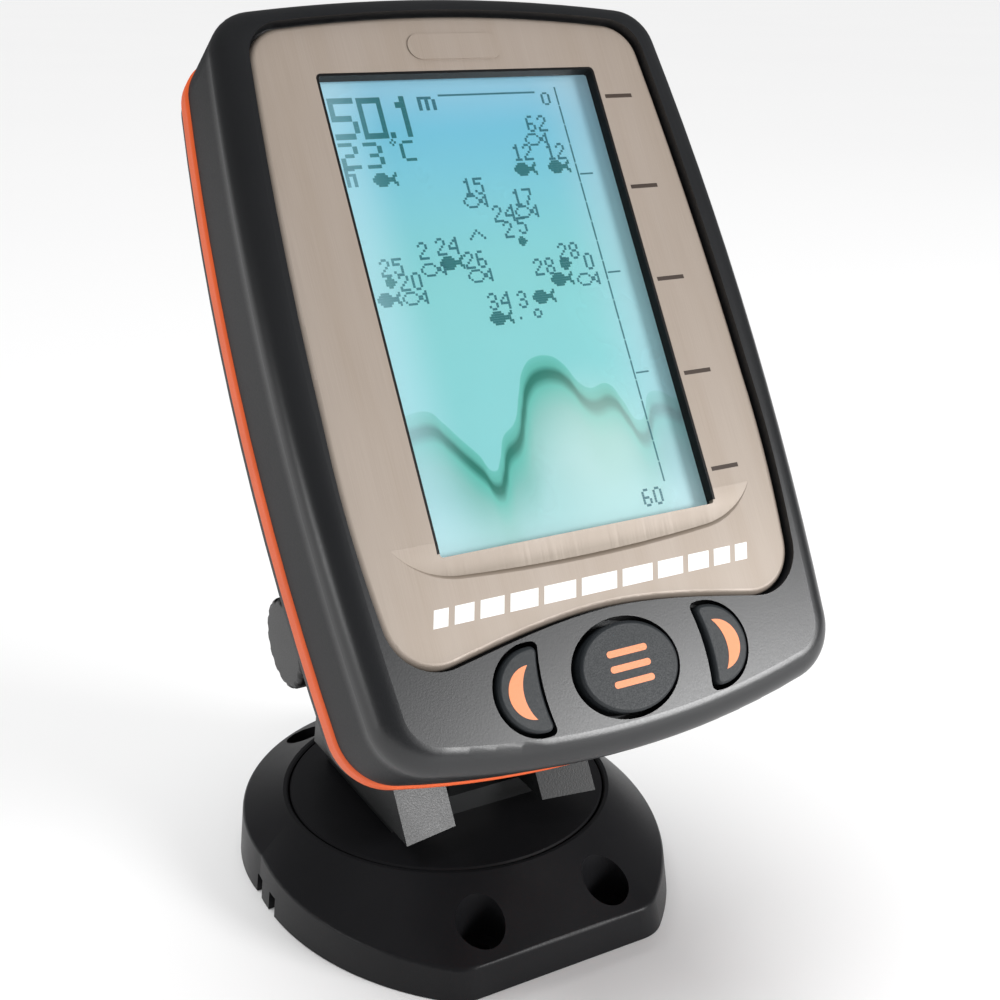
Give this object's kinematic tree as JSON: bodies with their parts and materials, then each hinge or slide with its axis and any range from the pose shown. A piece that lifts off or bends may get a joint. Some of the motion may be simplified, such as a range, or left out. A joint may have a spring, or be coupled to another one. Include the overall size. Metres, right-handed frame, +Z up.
{
  "type": "fish finder",
  "caption": "Portable sonar display in a sealed charcoal case with a champagne face, colour screen and soft keys, on a tilting yoke and a swivelling screw-down base.",
  "frame": {"origin": "centre of the base's underside, on the swivel axis", "axes": "+Z up along the swivel axis, the screen faces -Y and leans back, +X to the reader's right, tilt axis along X"},
  "size_m": [0.109, 0.1336, 0.198],
  "materials": {
    "case_plastic": "satin charcoal, fine moulded texture",
    "rear_plastic": "matte charcoal, fine spark texture",
    "face_paint": "satin champagne lacquer with a fine brushed grain",
    "seal_rubber": "matte orange elastomer",
    "legend_orange": "satin orange inlay",
    "key_rubber": "dark slate, soft touch",
    "mark_dark": "dark engraved mark",
    "mark_white": "white print",
    "frame_black": "black, matte",
    "clear_lens": "clear, hard-coated",
    "lcd": "sky-blue to teal display with sounding chart",
    "light_guide": "milky white",
    "holder_plastic": "grey, matte",
    "board_green": "solder mask",
    "chip_black": "moulded",
    "flex_amber": "polyimide film",
    "silicone": "translucent grey",
    "steel": "stainless",
    "brass": "turned",
    "contact_gold": "plated",
    "base_plastic": "black, satin, fine grain",
    "yoke_plastic": "glass-filled grey-black, satin",
    "knob_plastic": "black, fine grain",
    "dark_steel": "black oxide",
    "washer_nylon": "natural nylon"
  },
  "bodies": {
    "base": {"base_plate": "base_plastic"},
    "swivel": {"turntable": "base_plastic", "turntable_washer": "steel", "turntable_bolt": "steel", "yoke": "yoke_plastic", "yoke_screws": "dark_steel", "tilt_nut": "steel", "friction_washers": "washer_nylon"},
    "clamp": {"tilt_knob": "knob_plastic", "tilt_bolt": "steel", "knob_washer": "steel"},
    "menu_key": {"menu_button": "key_rubber", "menu_icon": "legend_orange"},
    "left_key": {"left_button": "key_rubber", "left_arrow": "legend_orange"},
    "right_key": {"right_button": "key_rubber", "right_arrow": "legend_orange"},
    "head": {"front_case": "case_plastic", "rear_case": "rear_plastic", "bezel_plate": "face_paint", "emblem": "face_paint", "case_seal": "seal_rubber", "depth_marks": "mark_dark", "stripe_marks": "mark_white", "window_frame": "frame_black", "window_lens": "clear_lens", "lcd_panel": "lcd", "backlight": "light_guide", "lcd_holder": "holder_plastic", "display_ribbon": "flex_amber", "main_board": "board_green", "board_parts": "chip_black", "buzzer": "chip_black", "board_screws": "steel", "case_screws": "steel", "key_switches": "chip_black", "key_mat": "silicone", "power_socket": "frame_black", "sonar_socket": "frame_black", "power_contacts": "contact_gold", "sonar_contacts": "contact_gold", "socket_seals": "seal_rubber", "socket_nuts": "brass", "knuckle_bush": "brass"}
  },
  "joints": [
    {"name": "swivel_turn", "type": "hinge", "parent": "base", "child": "swivel", "pos_m": [0, 0, 0.018], "axis": [0, 0, 1], "range_deg": [-90, 90]},
    {"name": "head_tilt", "type": "hinge", "parent": "swivel", "child": "head", "pos_m": [0, 0.006, 0.0605], "axis": [-1, 0, 0], "range_deg": [-20, 45]},
    {"name": "knob_turn", "type": "hinge", "parent": "swivel", "child": "clamp", "pos_m": [-0.038, 0.006, 0.0605], "axis": [-1, 0, 0], "range_deg": [0, 270]},
    {"name": "menu_press", "type": "slide", "parent": "head", "child": "menu_key", "axis": [0, 0.8468, -0.532], "range_m": [0, 0.001], "stiffness_N_per_m": 2500},
    {"name": "left_press", "type": "slide", "parent": "head", "child": "left_key", "axis": [0, 0.8468, -0.532], "range_m": [0, 0.001], "stiffness_N_per_m": 2500},
    {"name": "right_press", "type": "slide", "parent": "head", "child": "right_key", "axis": [0, 0.8468, -0.532], "range_m": [0, 0.001], "stiffness_N_per_m": 2500}
  ]
}
